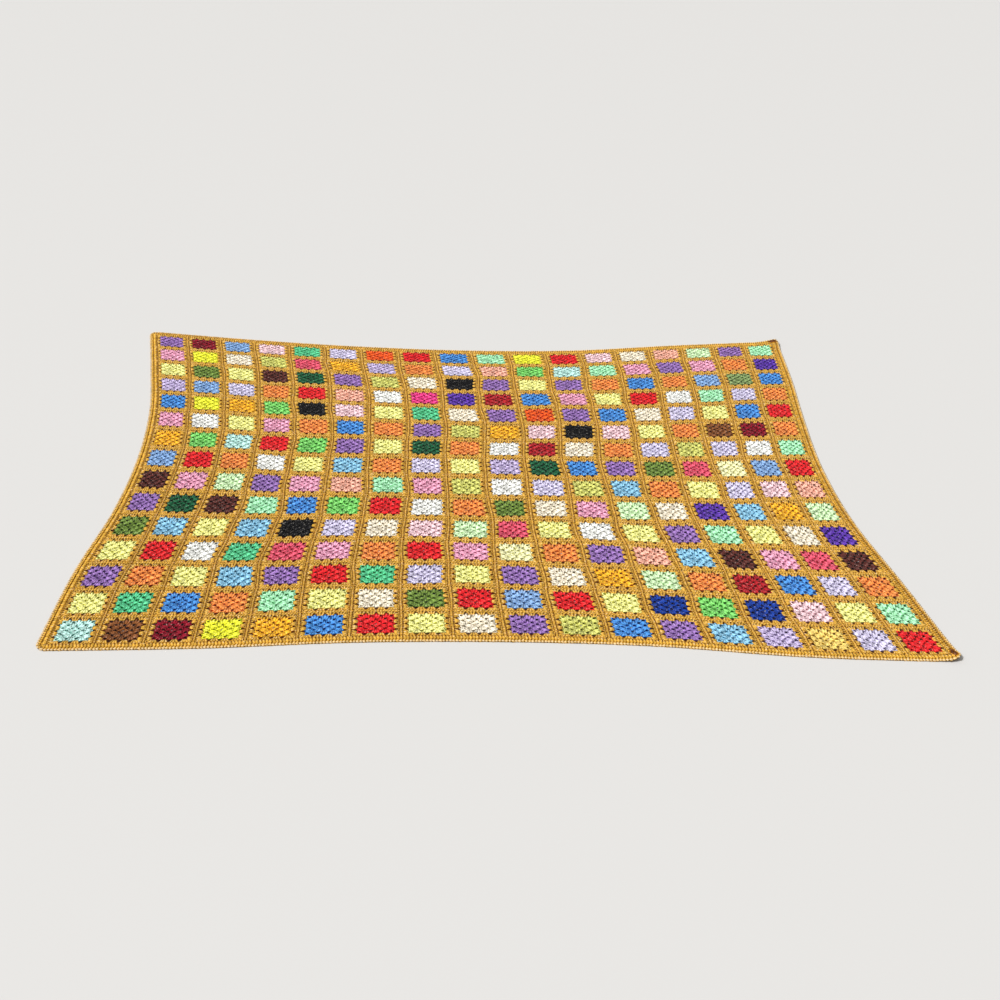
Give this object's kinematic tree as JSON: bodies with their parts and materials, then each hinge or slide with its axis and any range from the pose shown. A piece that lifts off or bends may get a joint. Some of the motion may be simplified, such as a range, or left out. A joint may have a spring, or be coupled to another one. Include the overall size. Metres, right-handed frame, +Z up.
{
  "type": "granny square blanket",
  "caption": "Crocheted patchwork blanket of small many-coloured granny squares joined in mustard yarn, spread flat, with a crocheted edging.",
  "frame": {"origin": "the middle of the blanket's outline, on the surface it lies on", "axes": "+X along the longer side, +Y from the near side to the far side, +Z up through the cloth"},
  "size_m": [1.8456, 1.5698, 0.0136],
  "materials": {
    "coloured_yarn": "soft matt yarn",
    "mustard_yarn": "soft matt yarn"
  },
  "bodies": {
    "root": {"granny_field": "coloured_yarn", "edging": "mustard_yarn"}
  },
  "joints": []
}
